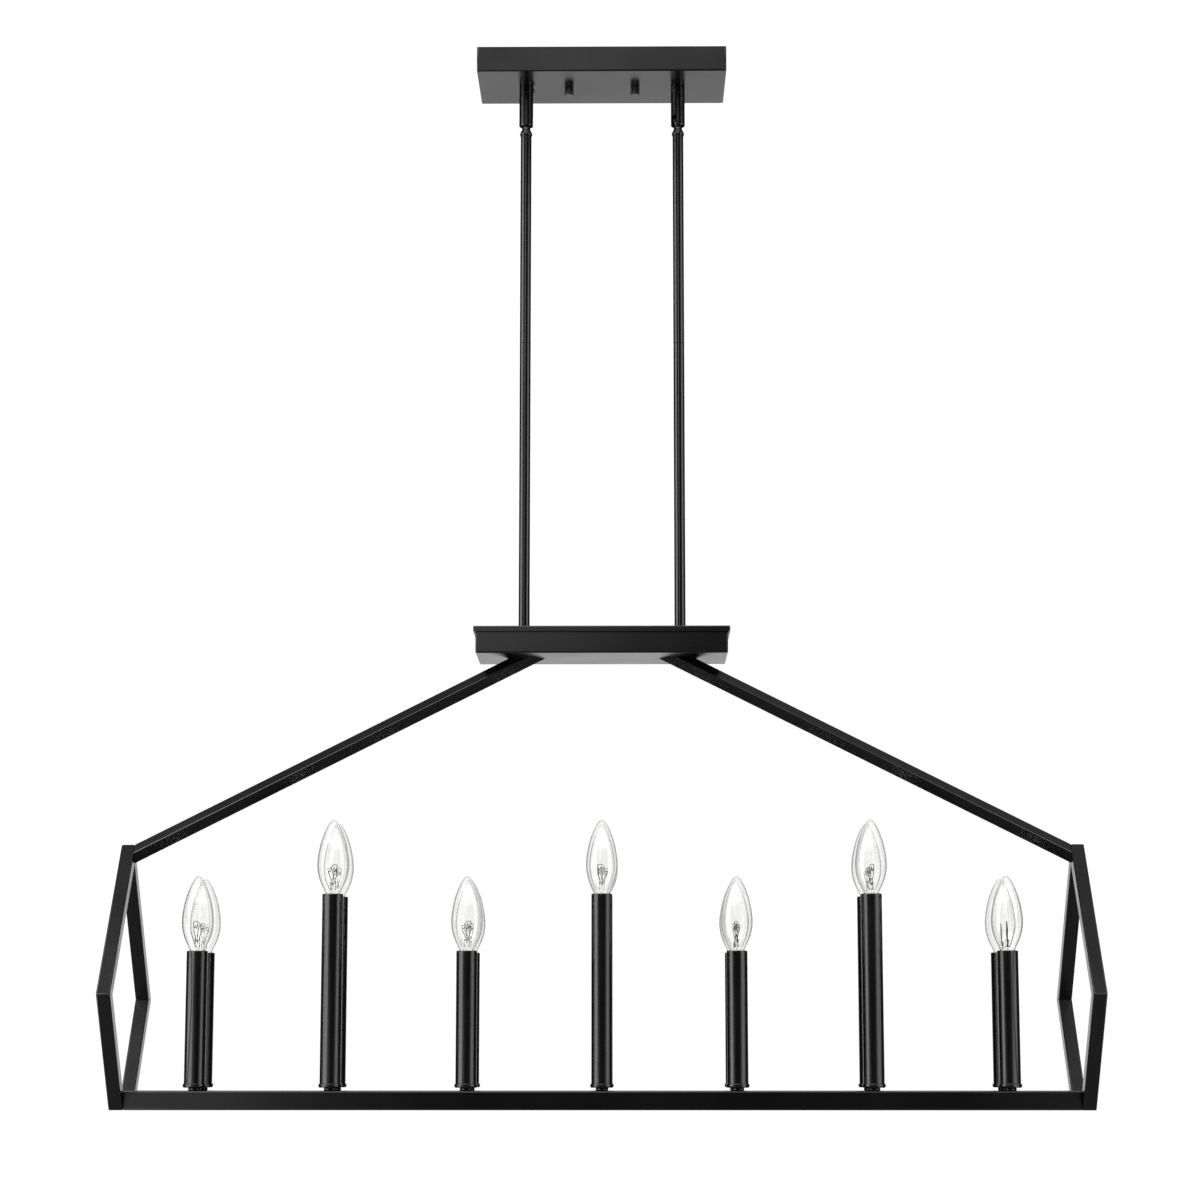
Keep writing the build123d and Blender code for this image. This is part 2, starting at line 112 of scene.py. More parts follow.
def turn(work, outline, sides, closed=False, start=0.0):
    """Turns an outline of (radius, height) points about the upright axis, from an angle in radians."""
    points = [work.verts.new((r * cos(start), r * sin(start), z)) for r, z in outline]
    pairs = list(zip(points, points[1:])) + ([(points[-1], points[0])] if closed else [])
    edges = [work.edges.new(pair) for pair in pairs]
    bmesh.ops.spin(
        work, geom=points + edges, cent=(0, 0, 0), axis=(0, 0, 1), angle=2 * pi, steps=sides,
        use_merge=True, use_normal_flip=False, use_duplicate=False,
    )
    bmesh.ops.remove_doubles(work, verts=work.verts[:], dist=0.0005)


def verts_of(geometry):
    return [g for g in geometry if isinstance(g, bmesh.types.BMVert)]


def repeat(work, places, turns=None):
    """Copies what stands on the axis to each (x, y, z) place, turned by as many degrees as turns gives."""
    pattern = work.verts[:] + work.edges[:] + work.faces[:]
    copies = [verts_of(pattern)]
    for place in places[1:]:
        copies.append(verts_of(bmesh.ops.duplicate(work, geom=pattern)["geom"]))
    for i, place in enumerate(places):
        if turns:
            bmesh.ops.rotate(work, cent=(0, 0, 0), matrix=about_z(turns[i]), verts=copies[i])
        bmesh.ops.translate(work, vec=place, verts=copies[i])


def join(work, other):
    """Puts other mesh work into this one."""
    mesh = bpy.data.meshes.new("joined")
    other.to_mesh(mesh)
    other.free()
    work.from_mesh(mesh)
    bpy.data.meshes.remove(mesh)


def round_edges(work, edges, offset, segments):
    bmesh.ops.bevel(
        work, geom=edges, offset=offset, offset_type="OFFSET", segments=segments,
        profile=0.5, affect="EDGES", material=-1, clamp_overlap=True,
    )


def face_outward(work):
    """Faces an open shell, turned about the upright axis, away from that axis."""
    bmesh.ops.recalc_face_normals(work, faces=work.faces[:])
    widest = max(work.faces, key=lambda f: f.calc_center_median().x)
    if widest.normal.x < 0:
        bmesh.ops.reverse_faces(work, faces=work.faces[:])


def about_z(degrees, size=3):
    return Matrix.Rotation(radians(degrees), size, "Z")


def lay_out(work, heading, place):
    """Lays what stands on the upright axis along a heading, in degrees from +X, and moves it to a place."""
    aim = about_z(heading, 4) @ Matrix.Rotation(radians(90), 4, "Y")
    bmesh.ops.transform(work, matrix=aim, verts=work.verts[:])
    bmesh.ops.translate(work, vec=place, verts=work.verts[:])


def edges_along(work, axis):
    """The edges that run along a direction."""
    found = []
    for edge in work.edges:
        run = (edge.verts[1].co - edge.verts[0].co).normalized()
        if abs(run.dot(axis)) > 0.999:
            found.append(edge)
    return found


def box(work, low, high):
    """A box between two corners."""
    made = bmesh.ops.create_cube(work, size=1)["verts"]
    low, high = Vector(low), Vector(high)
    bmesh.ops.scale(work, vec=high - low, verts=made)
    bmesh.ops.translate(work, vec=(low + high) / 2, verts=made)


def hexagon(work, flats, bottom, top, edge):
    """A hexagonal nut with two of its corners along X and its rims turned off."""
    corner = flats / 3**0.5
    made = bmesh.ops.create_cone(
        work, cap_ends=True, cap_tris=False, segments=6,
        radius1=corner, radius2=corner, depth=top - bottom,
    )["verts"]
    bmesh.ops.rotate(work, cent=(0, 0, 0), matrix=about_z(30), verts=made)
    bmesh.ops.translate(work, vec=(0, 0, (top + bottom) / 2), verts=made)
    rims = [e for e in work.edges if abs(e.verts[0].co.z - e.verts[1].co.z) < 0.001]
    round_edges(work, rims, edge, 2)


def thread_outline(radius, bottom, top, pitch, depth):
    """An outline with the ridges of a screw thread, from the bottom up."""
    points = [(radius - depth, bottom)]
    z = bottom + pitch / 2
    while z + pitch / 2 < top:
        points += [(radius, z), (radius - depth, z + pitch / 2)]
        z += pitch
    return points + [(radius - depth, top)]


def finish_piece(name, work, body, material, nodes=(), sharp=35, flat_over=1e9):
    """Makes mesh work in millimetres a piece that rides on a body and stands for CAD nodes.

    Faces larger than flat_over, in square millimetres, are flat sides, and the others are shaded as round.
    """
    bmesh.ops.recalc_face_normals(work, faces=work.faces[:])
    bmesh.ops.scale(work, vec=[millimetre] * 3, verts=work.verts[:])
    mesh = bpy.data.meshes.new(name)
    work.to_mesh(mesh)
    work.free()
    mesh.materials.append(material)
    mesh.set_sharp_from_angle(angle=radians(sharp))
    for side in mesh.polygons:
        side.use_smooth = side.area / millimetre**2 < flat_over
    piece = bpy.data.objects.new(name, mesh)
    bpy.context.scene.collection.objects.link(piece)
    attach(piece, body)
    if nodes:
        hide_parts(*nodes)
    return piece


# ---- shader groups ----

def new_group(name, inputs, outputs):
    """A node group with its entry and its exit: named inputs with default values, and named outputs."""
    group = bpy.data.node_groups.new(name, "ShaderNodeTree")
    for label, kind, value in inputs:
        socket = group.interface.new_socket(label, in_out="INPUT", socket_type=kind)
        socket.default_value = value
    for label, kind in outputs:
        group.interface.new_socket(label, in_out="OUTPUT", socket_type=kind)
    entry = add_node(group, "NodeGroupInput", (-900, 0))
    return group, entry, add_node(group, "NodeGroupOutput", (500, 0))


def add_node(tree, kind, place, **settings):
    node = tree.nodes.new(kind)
    node.location = place
    for key, value in settings.items():
        setattr(node, key, value)
    return node


def math_node(tree, operation, place, first=None, second=None):
    """A Math node whose inputs are sockets or numbers."""
    node = add_node(tree, "ShaderNodeMath", place, operation=operation)
    for socket, value in zip(node.inputs, (first, second)):
        if value is None:
            continue
        if isinstance(value, (int, float)):
            socket.default_value = value
        else:
            tree.links.new(value, socket)
    return node.outputs[0]


def noise(tree, vector, scale, detail, place):
    node = add_node(tree, "ShaderNodeTexNoise", place)
    tree.links.new(vector, node.inputs["Vector"])
    node.inputs["Scale"].default_value = scale
    node.inputs["Detail"].default_value = detail
    return node.outputs["Fac"]


def ramp(tree, value, low, high, place, to_low=0.0, to_high=1.0):
    """Maps a value between two levels to another range, and holds it there."""
    node = add_node(tree, "ShaderNodeMapRange", place, clamp=True)
    tree.links.new(value, node.inputs["Value"])
    levels = {"From Min": low, "From Max": high, "To Min": to_low, "To Max": to_high}
    for label, number in levels.items():
        node.inputs[label].default_value = number
    return node.outputs["Result"]


def make_edge_wear():
    """A mask of the edges where paint or plating is thin, broken up by noise."""
    group, entry, result = new_group(
        "edge_wear",
        [("Radius", "NodeSocketFloat", 0.0006), ("Spread", "NodeSocketFloat", 260.0)],
        [("Mask", "NodeSocketFloat")],
    )
    bevel = add_node(group, "ShaderNodeBevel", (-700, 100), samples=4)
    group.links.new(entry.outputs["Radius"], bevel.inputs["Radius"])
    surface = add_node(group, "ShaderNodeNewGeometry", (-700, -100))
    compare = add_node(group, "ShaderNodeVectorMath", (-500, 100), operation="DOT_PRODUCT")
    group.links.new(bevel.outputs["Normal"], compare.inputs[0])
    group.links.new(surface.outputs["Normal"], compare.inputs[1])
    edge = ramp(group, compare.outputs["Value"], 0.97, 0.78, (-300, 100))
    place = add_node(group, "ShaderNodeTexCoord", (-700, -350))
    patches = add_node(group, "ShaderNodeTexNoise", (-500, -300))
    group.links.new(place.outputs["Object"], patches.inputs["Vector"])
    group.links.new(entry.outputs["Spread"], patches.inputs["Scale"])
    patches.inputs["Detail"].default_value = 4.0
    broken = ramp(group, patches.outputs["Fac"], 0.35, 0.7, (-300, -300))
    mask = math_node(group, "MULTIPLY", (100, 0), edge, broken)
    group.links.new(mask, result.inputs["Mask"])
    return group


def make_coat_texture():
    """The fine pebbled skin of sprayed paint, with broad drift in its gloss."""
    group, entry, result = new_group(
        "coat_texture",
        [("Grain", "NodeSocketFloat", 900.0), ("Drift", "NodeSocketFloat", 9.0)],
        [("Height", "NodeSocketFloat"), ("Gloss", "NodeSocketFloat")],
    )
    place = add_node(group, "ShaderNodeTexCoord", (-900, -200))
    outputs = []
    for label, detail, y in (("Grain", 2.0, 150), ("Drift", 3.0, -150)):
        node = add_node(group, "ShaderNodeTexNoise", (-500, y))
        group.links.new(place.outputs["Object"], node.inputs["Vector"])
        group.links.new(entry.outputs[label], node.inputs["Scale"])
        node.inputs["Detail"].default_value = detail
        outputs.append(node.outputs["Fac"])
    group.links.new(outputs[0], result.inputs["Height"])
    group.links.new(outputs[1], result.inputs["Gloss"])
    return group


edge_wear = make_edge_wear()
coat_texture = make_coat_texture()


def new_material(name):
    """A material with a bare shader, and its node tree."""
    material = bpy.data.materials.new(name)
    material.use_nodes = True
    tree = material.node_tree
    shader = tree.nodes["Principled BSDF"]
    shader.location = (300, 0)
    return material, tree, shader


def mix_colours(tree, mask, low, high, place):
    node = add_node(tree, "ShaderNodeMix", place, data_type="RGBA")
    tree.links.new(mask, node.inputs["Factor"])
    node.inputs["A"].default_value = (*low, 1)
    node.inputs["B"].default_value = (*high, 1)
    return node.outputs["Result"]


def bump(tree, height, strength, distance, place):
    node = add_node(tree, "ShaderNodeBump", place)
    node.inputs["Strength"].default_value = strength
    node.inputs["Distance"].default_value = distance
    tree.links.new(height, node.inputs["Height"])
    return node.outputs["Normal"]


def use_group(tree, group, place, **values):
    node = add_node(tree, "ShaderNodeGroup", place, node_tree=group)
    for label, value in values.items():
        node.inputs[label].default_value = value
    return node


def link_shader(tree, shader, colour, roughness, normal=None):
    """Links a colour, a roughness and a normal to a shader."""
    tree.links.new(colour, shader.inputs["Base Color"])
    tree.links.new(roughness, shader.inputs["Roughness"])
    if normal is not None:
        tree.links.new(normal, shader.inputs["Normal"])


def satin_black_paint(name="satin_black_paint", grain=900.0, smooth=0.20, coarse=0.27, depth=0.00002):
    """Sprayed satin black on steel: pebbled skin, drifting gloss and paler, smoother edges."""
    material, tree, shader = new_material(name)
    skin = use_group(tree, coat_texture, (-700, -100), Grain=grain, Drift=11.0)
    wear = use_group(tree, edge_wear, (-700, 200), Radius=0.0007, Spread=320.0)
    faint = math_node(tree, "MULTIPLY", (-450, 200), wear.outputs["Mask"], 0.55)
    colour = mix_colours(tree, faint, (0.0018, 0.0018, 0.002), (0.02, 0.02, 0.021), (0, 200))
    gloss = ramp(tree, skin.outputs["Gloss"], 0.3, 0.7, (-450, -50), smooth, coarse)
    rubbed = math_node(tree, "MULTIPLY", (-250, 50), faint, 0.1)
    roughness = math_node(tree, "SUBTRACT", (-50, -50), gloss, rubbed)
    pebbles = bump(tree, skin.outputs["Height"], 0.35, depth, (0, -300))
    link_shader(tree, shader, colour, roughness, pebbles)
    shader.inputs["IOR"].default_value = 1.5
    return material


def zinc_plate():
    """Bright zinc on steel: drawn streaks, cloudy gloss and dull rubbed edges."""
    material, tree, shader = new_material("zinc_plate")
    place = add_node(tree, "ShaderNodeTexCoord", (-1100, 0))
    stretch = add_node(tree, "ShaderNodeMapping", (-900, -200))
    stretch.inputs["Scale"].default_value = (1.0, 1.0, 0.06)
    tree.links.new(place.outputs["Object"], stretch.inputs["Vector"])
    cloud = noise(tree, place.outputs["Object"], 90.0, 4.0, (-700, 150))
    streak = noise(tree, stretch.outputs["Vector"], 2600.0, 3.0, (-700, -200))
    wear = use_group(tree, edge_wear, (-700, 400), Radius=0.0004, Spread=500.0)
    tone = math_node(tree, "MULTIPLY", (-450, 300), wear.outputs["Mask"], 0.6)
    dull = ramp(tree, cloud, 0.35, 0.75, (-450, 100), 0.0, 0.45)
    mixed = math_node(tree, "MAXIMUM", (-250, 250), tone, dull)
    colour = mix_colours(tree, mixed, (0.60, 0.62, 0.65), (0.42, 0.43, 0.44), (0, 200))
    roughness = ramp(tree, cloud, 0.3, 0.75, (-200, -50), 0.26, 0.46)
    link_shader(tree, shader, colour, roughness, bump(tree, streak, 0.25, 0.00001, (0, -300)))
    shader.inputs["Metallic"].default_value = 1.0
    return material


def black_phenolic():
    """Moulded black phenolic of a lampholder: matte skin with fine pits."""
    material, tree, shader = new_material("black_phenolic")
    skin = use_group(tree, coat_texture, (-700, 0), Grain=1500.0, Drift=60.0)
    mask = ramp(tree, skin.outputs["Gloss"], 0.3, 0.7, (-450, 150))
    colour = mix_colours(tree, mask, (0.010, 0.009, 0.008), (0.020, 0.018, 0.016), (-100, 150))
    roughness = ramp(tree, skin.outputs["Gloss"], 0.3, 0.7, (-450, -100), 0.45, 0.6)
    pits = bump(tree, skin.outputs["Height"], 0.4, 0.00003, (0, -300))
    link_shader(tree, shader, colour, roughness, pits)
    return material


def bulb_glass():
    """Clear blown glass with painted shade: greyer and darker where the eye looks along its wall, in place
    of the darker surroundings seen through it there, with a hint of unevenness.
    """
    material, tree, shader = new_material("bulb_glass")
    place = add_node(tree, "ShaderNodeTexCoord", (-900, -200))
    stretch = add_node(tree, "ShaderNodeMapping", (-750, -200))
    stretch.inputs["Scale"].default_value = (1.0, 1.0, 0.25)
    tree.links.new(place.outputs["Object"], stretch.inputs["Vector"])
    waves = noise(tree, stretch.outputs["Vector"], 90.0, 2.0, (-550, -200))
    roughness = ramp(tree, waves, 0.3, 0.7, (-300, -50), 0.0, 0.01)
    rim_shade_mask = add_node(tree, "ShaderNodeLayerWeight", (-700, 200))
    rim_shade_mask.inputs["Blend"].default_value = 0.5
    # Painted shade: the glass's colour greys by how far its wall slants from the eye, standing in for the
    # darker surroundings refracted at its rim.
    wall = add_node(tree, "ShaderNodeValToRGB", (-300, 250))
    tree.links.new(rim_shade_mask.outputs["Facing"], wall.inputs["Fac"])
    painted_shade_stops = wall.color_ramp.elements
    painted_shade_stops[0].position, painted_shade_stops[1].position = 0.24, 0.80
    # Levels of the painted shade: nearly clear face-on, a faint grey band, then a dark grey outline at the
    # rim.
    for position in (0.33, 0.40, 0.55, 0.64):
        painted_shade_stops.new(position)
    for stop, clear in zip(painted_shade_stops, (0.97, 0.82, 0.90, 0.88, 0.45, 0.26)):
        stop.color = (clear, clear, clear * 0.995, 1)
    uneven = bump(tree, waves, 0.02, 0.00005, (0, -300))
    link_shader(tree, shader, wall.outputs["Color"], roughness, uneven)
    shader.inputs["Transmission Weight"].default_value = 1.0
    shader.inputs["IOR"].default_value = 1.46
    return material


def clouded_metal(name, scale, detail, bright, dull, smooth, coarse, ridge=0.0):
    """A bare metal with clouds of a duller tone, which are rougher too, and faint ridges if wanted."""
    material, tree, shader = new_material(name)
    place = add_node(tree, "ShaderNodeTexCoord", (-900, 0))
    cloud = noise(tree, place.outputs["Object"], scale, detail, (-600, 0))
    mask = ramp(tree, cloud, 0.35, 0.7, (-350, 150))
    colour = mix_colours(tree, mask, bright, dull, (0, 150))
    roughness = ramp(tree, cloud, 0.3, 0.7, (-350, -100), smooth, coarse)
    normal = bump(tree, cloud, 0.2, ridge, (0, -300)) if ridge else None
    link_shader(tree, shader, colour, roughness, normal)
    shader.inputs["Metallic"].default_value = 1.0
    return material


black = satin_black_paint()
swivel_black = satin_black_paint(
    "swivel_black_paint", grain=1500.0, smooth=0.15, coarse=0.21, depth=0.00001,
)
sleeve_black = satin_black_paint(
    "sleeve_black_paint", grain=1300.0, smooth=0.21, coarse=0.27, depth=0.000012,
)
zinc = zinc_plate()
phenolic = black_phenolic()
glass = bulb_glass()
nickel = clouded_metal(
    "nickel_shell", 260.0, 4.0, (0.62, 0.58, 0.50), (0.45, 0.42, 0.36), 0.22, 0.42, ridge=0.00002,
)
wire = clouded_metal("lead_wire", 400.0, 3.0, (0.06, 0.055, 0.05), (0.03, 0.028, 0.03), 0.3, 0.5)


# ---- ceiling fixing and canopy ----

def on_axis(xs):
    return [(x, 0.0, 0.0) for x in xs]


def folded_shell(name, size, top, open_side, corner, edge, thickness, body, node):
    """A box folded from sheet, open at its top (1) or bottom (-1), with rounded corners and bends."""
    length, width, height = size
    work = bmesh.new()
    box(work, (-length / 2, -width / 2, top - height), (length / 2, width / 2, top))
    gone = max(work.faces, key=lambda f: f.calc_center_median().z * open_side)
    bmesh.ops.delete(work, geom=[gone], context="FACES")
    round_edges(work, edges_along(work, Vector((0, 0, 1))), corner, 4)
    level = top - height if open_side > 0 else top
    bend = [e for e in work.edges if all(abs(v.co.z - level) < 0.01 for v in e.verts)]
    round_edges(work, bend, edge, 3)
    piece = finish_piece(name, work, body, black, [node], flat_over=300)
    wall = piece.modifiers.new("sheet_thickness", "SOLIDIFY")
    wall.thickness = thickness * millimetre
    wall.offset = -1.0
    wall.use_even_offset = True
    burr = piece.modifiers.new("deburred_rim", "BEVEL")
    burr.width = 0.45 * millimetre
    burr.segments = 2
    burr.limit_method = "ANGLE"
    burr.angle_limit = radians(50)


def make_canopy():
    folded_shell(
        "canopy_shell", canopy_size, 0.0, 1, corner=1.8, edge=1.7, thickness=canopy_sheet,
        body="ceiling_mount", node="canopy",
    )


def make_thumb_nuts():
    """Straight-knurled nuts with a flat foot and a smooth shoulder against the canopy."""
    work = bmesh.new()
    ribs, rib_radius, groove_share = 56, 5.2, 0.94
    turn(work, [(r, canopy_bottom - z) for r, z in (
        (0, 0.01), (4.6, 0.01), (4.8, 0.2), (4.8, 0.7), (rib_radius, 1.0),
        (rib_radius, 9.45), (4.95, 9.7), (4.6, 9.7), (0, 9.7),
    )], ribs)
    for vert in work.verts:
        step = round(atan2(vert.co.y, vert.co.x) / (2 * pi) * ribs)
        if hypot(vert.co.x, vert.co.y) > rib_radius - 0.1 and step % 2:
            vert.co.x *= groove_share
            vert.co.y *= groove_share
    repeat(work, on_axis(screws_x))
    finish_piece("knurled_nuts", work, "ceiling_mount", swivel_black, ["canopy_thumb_nuts"])


def make_threads():
    """The canopy screws and the swivel nipples, with their threads."""
    work = bmesh.new()
    low, high = screw_ends
    thread = thread_outline(2.0, low + 0.1, high - 0.05, 0.8, 0.28)
    turn(work, [(0, low)] + thread + [(0, high)], 20)
    repeat(work, on_axis(screws_x))
    finish_piece(
        "threaded_screws", work, "ceiling_mount", zinc, ["canopy_screws"], sharp=60,
    )
    work = bmesh.new()
    low, high = nipple_ends
    rim = thread_radius - 0.4
    thread = thread_outline(thread_radius, low + 0.1, high - 0.1, *pipe_thread)
    outline = [(pipe_bore, low), (rim, low)] + thread + [(rim, high), (pipe_bore, high)]
    turn(work, outline, 28, closed=True)
    repeat(work, on_axis(stems_x))
    finish_piece(
        "threaded_nipples", work, "ceiling_mount", zinc, ["swivel_nipples"], sharp=60,
    )


def make_nuts():
    """The hexagon nuts inside the canopy."""
    work = bmesh.new()
    hexagon(work, 7.0, strap_bottom - 3.2, strap_bottom - 0.01, 0.35)
    repeat(work, on_axis(screws_x))
    finish_piece("screw_nuts", work, "ceiling_mount", zinc, ["canopy_screw_nuts"])
    work = bmesh.new()
    hexagon(work, 14.0, canopy_floor + 0.01, canopy_floor + 4.0, 0.6)
    repeat(work, on_axis(stems_x))
    finish_piece("nipple_nuts", work, "ceiling_mount", zinc, ["swivel_locknuts"])


def make_eyelet():
    """The rolled eyelet that joins the two straps."""
    work = bmesh.new()
    turn(work, [
        (4.0, -0.01), (4.95, -0.01), (4.95, -4.0), (7.0, -4.05),
        (6.9, -4.6), (5.6, -4.8), (4.4, -4.7), (4.0, -4.2),
    ], 40, closed=True)
    finish_piece("rolled_eyelet", work, "ceiling_mount", zinc, ["strap_eyelet"])


# ---- swivels ----

def make_collars():
    """Collars under the canopy, each with a small set screw in its side."""
    work = bmesh.new()
    turn(work, [
        (stem_bore, sleeve_top + 0.05), (swivel_rim, sleeve_top + 0.05),
        (swivel_radius, sleeve_top + 0.4), (swivel_radius, sleeve_top + keep_straight),
        (swivel_radius, canopy_bottom - keep_straight), (swivel_radius, canopy_bottom - 0.4),
        (swivel_rim, canopy_bottom - 0.01), (stem_bore, canopy_bottom - 0.01),
    ], 64, closed=True)
    repeat(work, on_axis(stems_x))
    finish_piece("collar_rings", work, "ceiling_mount", swivel_black, ["swivel_collars"])
    work = bmesh.new()
    for x, heading in zip(stems_x, (-14, 231)):
        screw = bmesh.new()
        turn(screw, [
            (0, 0.2), (0.95, 0.2), (1.1, 1.45), (1.6, 1.6),
            (2.2, 1.35), (2.65, 0.7), (2.8, 0.0), (2.8, -0.9),
        ], 36)
        bmesh.ops.translate(screw, vec=(0, 0, swivel_radius), verts=screw.verts[:])
        lay_out(screw, heading, (x, 0, canopy_bottom - 4.4))
        join(work, screw)
    finish_piece("set_screws", work, "ceiling_mount", swivel_black)


def slot_half_width(z):
    """Half the width of the key slot at a height."""
    rise = max(0.0, z - slot_end)
    return (slot_half * slot_half - rise * rise) ** 0.5 if rise < slot_half else 0.0


def cut_key_slot(work, rows):
    """Cuts a sleeve's key slot on its +X side and draws the edges of the cut onto the slot's outline."""
    half_facet = radians(1.9)
    cut = []
    for face in work.faces:
        middle = face.calc_center_median()
        widest = half_facet + asin(0.98 * slot_half_width(middle.z) / swivel_radius)
        if middle.z < rows[-1] and abs(atan2(middle.y, middle.x)) < widest:
            cut.append(face)
    bmesh.ops.delete(work, geom=cut, context="FACES")
    for vert in [v for v in work.verts if v.is_boundary and v.co.z < rows[-1] + 0.01]:
        reach, angle = hypot(vert.co.x, vert.co.y), atan2(vert.co.y, vert.co.x)
        edge = asin(min(1.0, slot_half_width(vert.co.z) / reach))
        if abs(angle) < edge + radians(3.0):
            vert.co.x = reach * cos(edge)
            vert.co.y = reach * sin(edge) * (1 if angle > 0 else -1)
    bmesh.ops.remove_doubles(work, verts=work.verts[:], dist=0.02)


def make_swivel_sleeves():
    """Turned sockets, each with a round-ended key slot cut up from its mouth."""
    rows = [mouth_z + 0.75, mouth_z + keep_straight, slot_end]
    rows += [slot_end + slot_half * sin(radians(a)) for a in (20, 40, 55, 70, 80, 90)]
    lip = [(7.35, mouth_z + 0.01), (7.75, mouth_z + 0.12), (7.97, mouth_z + 0.38)]
    straight = rows + [sleeve_top - keep_straight, sleeve_top - 0.4]
    outline = lip + [(swivel_radius, z) for z in straight] + [(swivel_rim, sleeve_top - 0.05)]
    sides = 96
    joined = bmesh.new()
    for x, heading in zip(stems_x, key_turns):
        work = bmesh.new()
        turn(work, outline, sides, start=pi / sides)
        cut_key_slot(work, rows)
        face_outward(work)
        bmesh.ops.rotate(work, cent=(0, 0, 0), matrix=about_z(heading), verts=work.verts[:])
        bmesh.ops.translate(work, vec=(x, 0, 0), verts=work.verts[:])
        bmesh.ops.solidify(work, geom=work.faces[:], thickness=swivel_wall)
        join(joined, work)
    finish_piece(
        "slotted_sleeves", joined, "ceiling_mount", swivel_black, ["swivel_sleeves"],
    )


def make_balls():
    """Ball, neck, dome and bead, turned in one piece, with the key that rides in the slot."""
    work = bmesh.new()
    root = stems_top - 9.8
    outline = [
        (0, root), (4.6, root), (thread_radius, root + 0.4), (thread_radius, stems_top + 0.01),
        (6.1, stems_top + 0.01),
    ]
    corner = 0.9
    for z, angles in ((ball_z - 15.5, (-80, -45, 0)), (ball_z - 13.7, (0, 45, 80))):
        for a in angles:
            out, up = corner * cos(radians(a)), corner * sin(radians(a))
            outline.append((bead_radius - corner + out, z + up))
    outline += [(r, ball_z + z) for r, z in (
        (6.1, -12.8), (6.1, -11.1), (5.95, -10.6), (5.6, -10.3), (5.15, -10.1), (neck_radius, -9.6),
        (neck_radius, -5.0),
    )]
    for a in range(-38, 46, 7):
        outline.append((ball_radius * cos(radians(a)), ball_z + ball_radius * sin(radians(a))))
    outline += [(pipe_bore, ball_z + 4.5), (pipe_bore, ball_z - 1.0), (0, ball_z - 1.0)]
    turn(work, outline, 64)
    repeat(work, on_axis(stems_x))
    for x, heading in zip(stems_x, key_turns):
        key = bmesh.new()
        turn(key, [(0, 7.8), (1.1, 7.8), (1.4, 7.5), (1.4, 4.8)], 24)
        lay_out(key, heading, (x, 0, ball_z))
        join(work, key)
    finish_piece("ball_ends", work, "hanging_frame", swivel_black, ["swivel_balls"])


# ---- stems and housing ----

def make_stems():
    """The three lengths of stem, with a fine groove at each seam."""
    for name, top, bottom, node in (
        ("stems_above", stems_top, upper_seam, "upper_stems"),
        ("stems_between", upper_seam, lower_seam, "middle_stems"),
        ("stems_below", lower_seam, lid_top, "lower_stems"),
    ):
        work = bmesh.new()
        turn(work, [
            (stem_bore, bottom + 0.01), (stem_rim, bottom + 0.01), (stem_radius, bottom + 0.3),
            (stem_radius, bottom + keep_straight), (stem_radius, top - keep_straight),
            (stem_radius, top - 0.3), (stem_rim, top - 0.01), (stem_bore, top - 0.01),
        ], 64, closed=True)
        repeat(work, on_axis(stems_x))
        finish_piece(name, work, "hanging_frame", swivel_black, [node])


def make_housing():
    """The lid, open below, and the tray that hangs in it, open above."""
    folded_shell(
        "housing_cover", lid_size, lid_top, -1, corner=1.6, edge=1.1, thickness=sheet,
        body="hanging_frame", node="housing_lid",
    )
    folded_shell(
        "housing_tray", housing_size, housing_bottom + housing_size[2], 1, corner=1.8, edge=1.7,
        thickness=sheet, body="hanging_frame", node="housing_body",
    )


# ---- arms, end frames and rails ----

def arm_section(x_sign, at_root):
    """The four corners of an arm where it is cut by the housing's underside or by an end frame."""
    half = arm_side / 2**0.5
    if at_root:
        reach = half / sin(arm_slope)
        corners = ((arm_root + reach, 0), (arm_root, -half), (arm_root - reach, 0), (arm_root, half))
        return [Vector((x_sign * x, y, housing_bottom)) for x, y in corners]
    x = x_sign * frame_inside
    z = housing_bottom - (frame_inside - arm_root) * tan(arm_slope)
    reach = half / cos(arm_slope)
    corners = ((0, z + reach), (-half, z), (0, z - reach), (half, z))
    return [Vector((x, y, height)) for y, height in corners]


def make_arms():
    """Square tubes set on edge, welded under the housing and to the end frames."""
    for side, sign in (("left", -1), ("right", 1)):
        work = bmesh.new()
        root, end = arm_section(sign, True), arm_section(sign, False)
        face = work.faces.new([work.verts.new(p) for p in root])
        made = verts_of(bmesh.ops.extrude_face_region(work, geom=[face])["geom"])
        for vert in made:
            here = min(range(4), key=lambda i: (root[i] - vert.co).length)
            vert.co = end[here]
        long_edges = [e for e in work.edges if abs(e.verts[0].co.z - e.verts[1].co.z) > 150]
        round_edges(work, long_edges, 1.4, 5)
        finish_piece(
            f"{side}_arm_tube", work, "hanging_frame", black, [f"{side}_arm"],
            flat_over=1000,
        )


def frame_corners():
    return [
        Vector((0, ridge_z)), Vector((-shoulder_half, shoulder_z)), Vector((-foot_half, rail_bottom)),
        Vector((foot_half, rail_bottom)), Vector((shoulder_half, shoulder_z)),
    ]


def drawn_in(distance):
    """The corners of an end frame's outline, drawn in by a distance."""
    corners = frame_corners()
    found = []
    for i, here in enumerate(corners):
        ahead = (corners[(i + 1) % 5] - here).normalized()
        behind = (here - corners[i - 1]).normalized()
        left_ahead, left_behind = Vector((-ahead.y, ahead.x)), Vector((-behind.y, behind.x))
        found.append(here + (left_ahead + left_behind) * distance / (1 + left_ahead.dot(left_behind)))
    return found


def end_rims(work):
    """The rims of a tube's two cut ends."""
    return [e for e in work.edges if any(len(f.verts) > 4 for f in e.link_faces)]


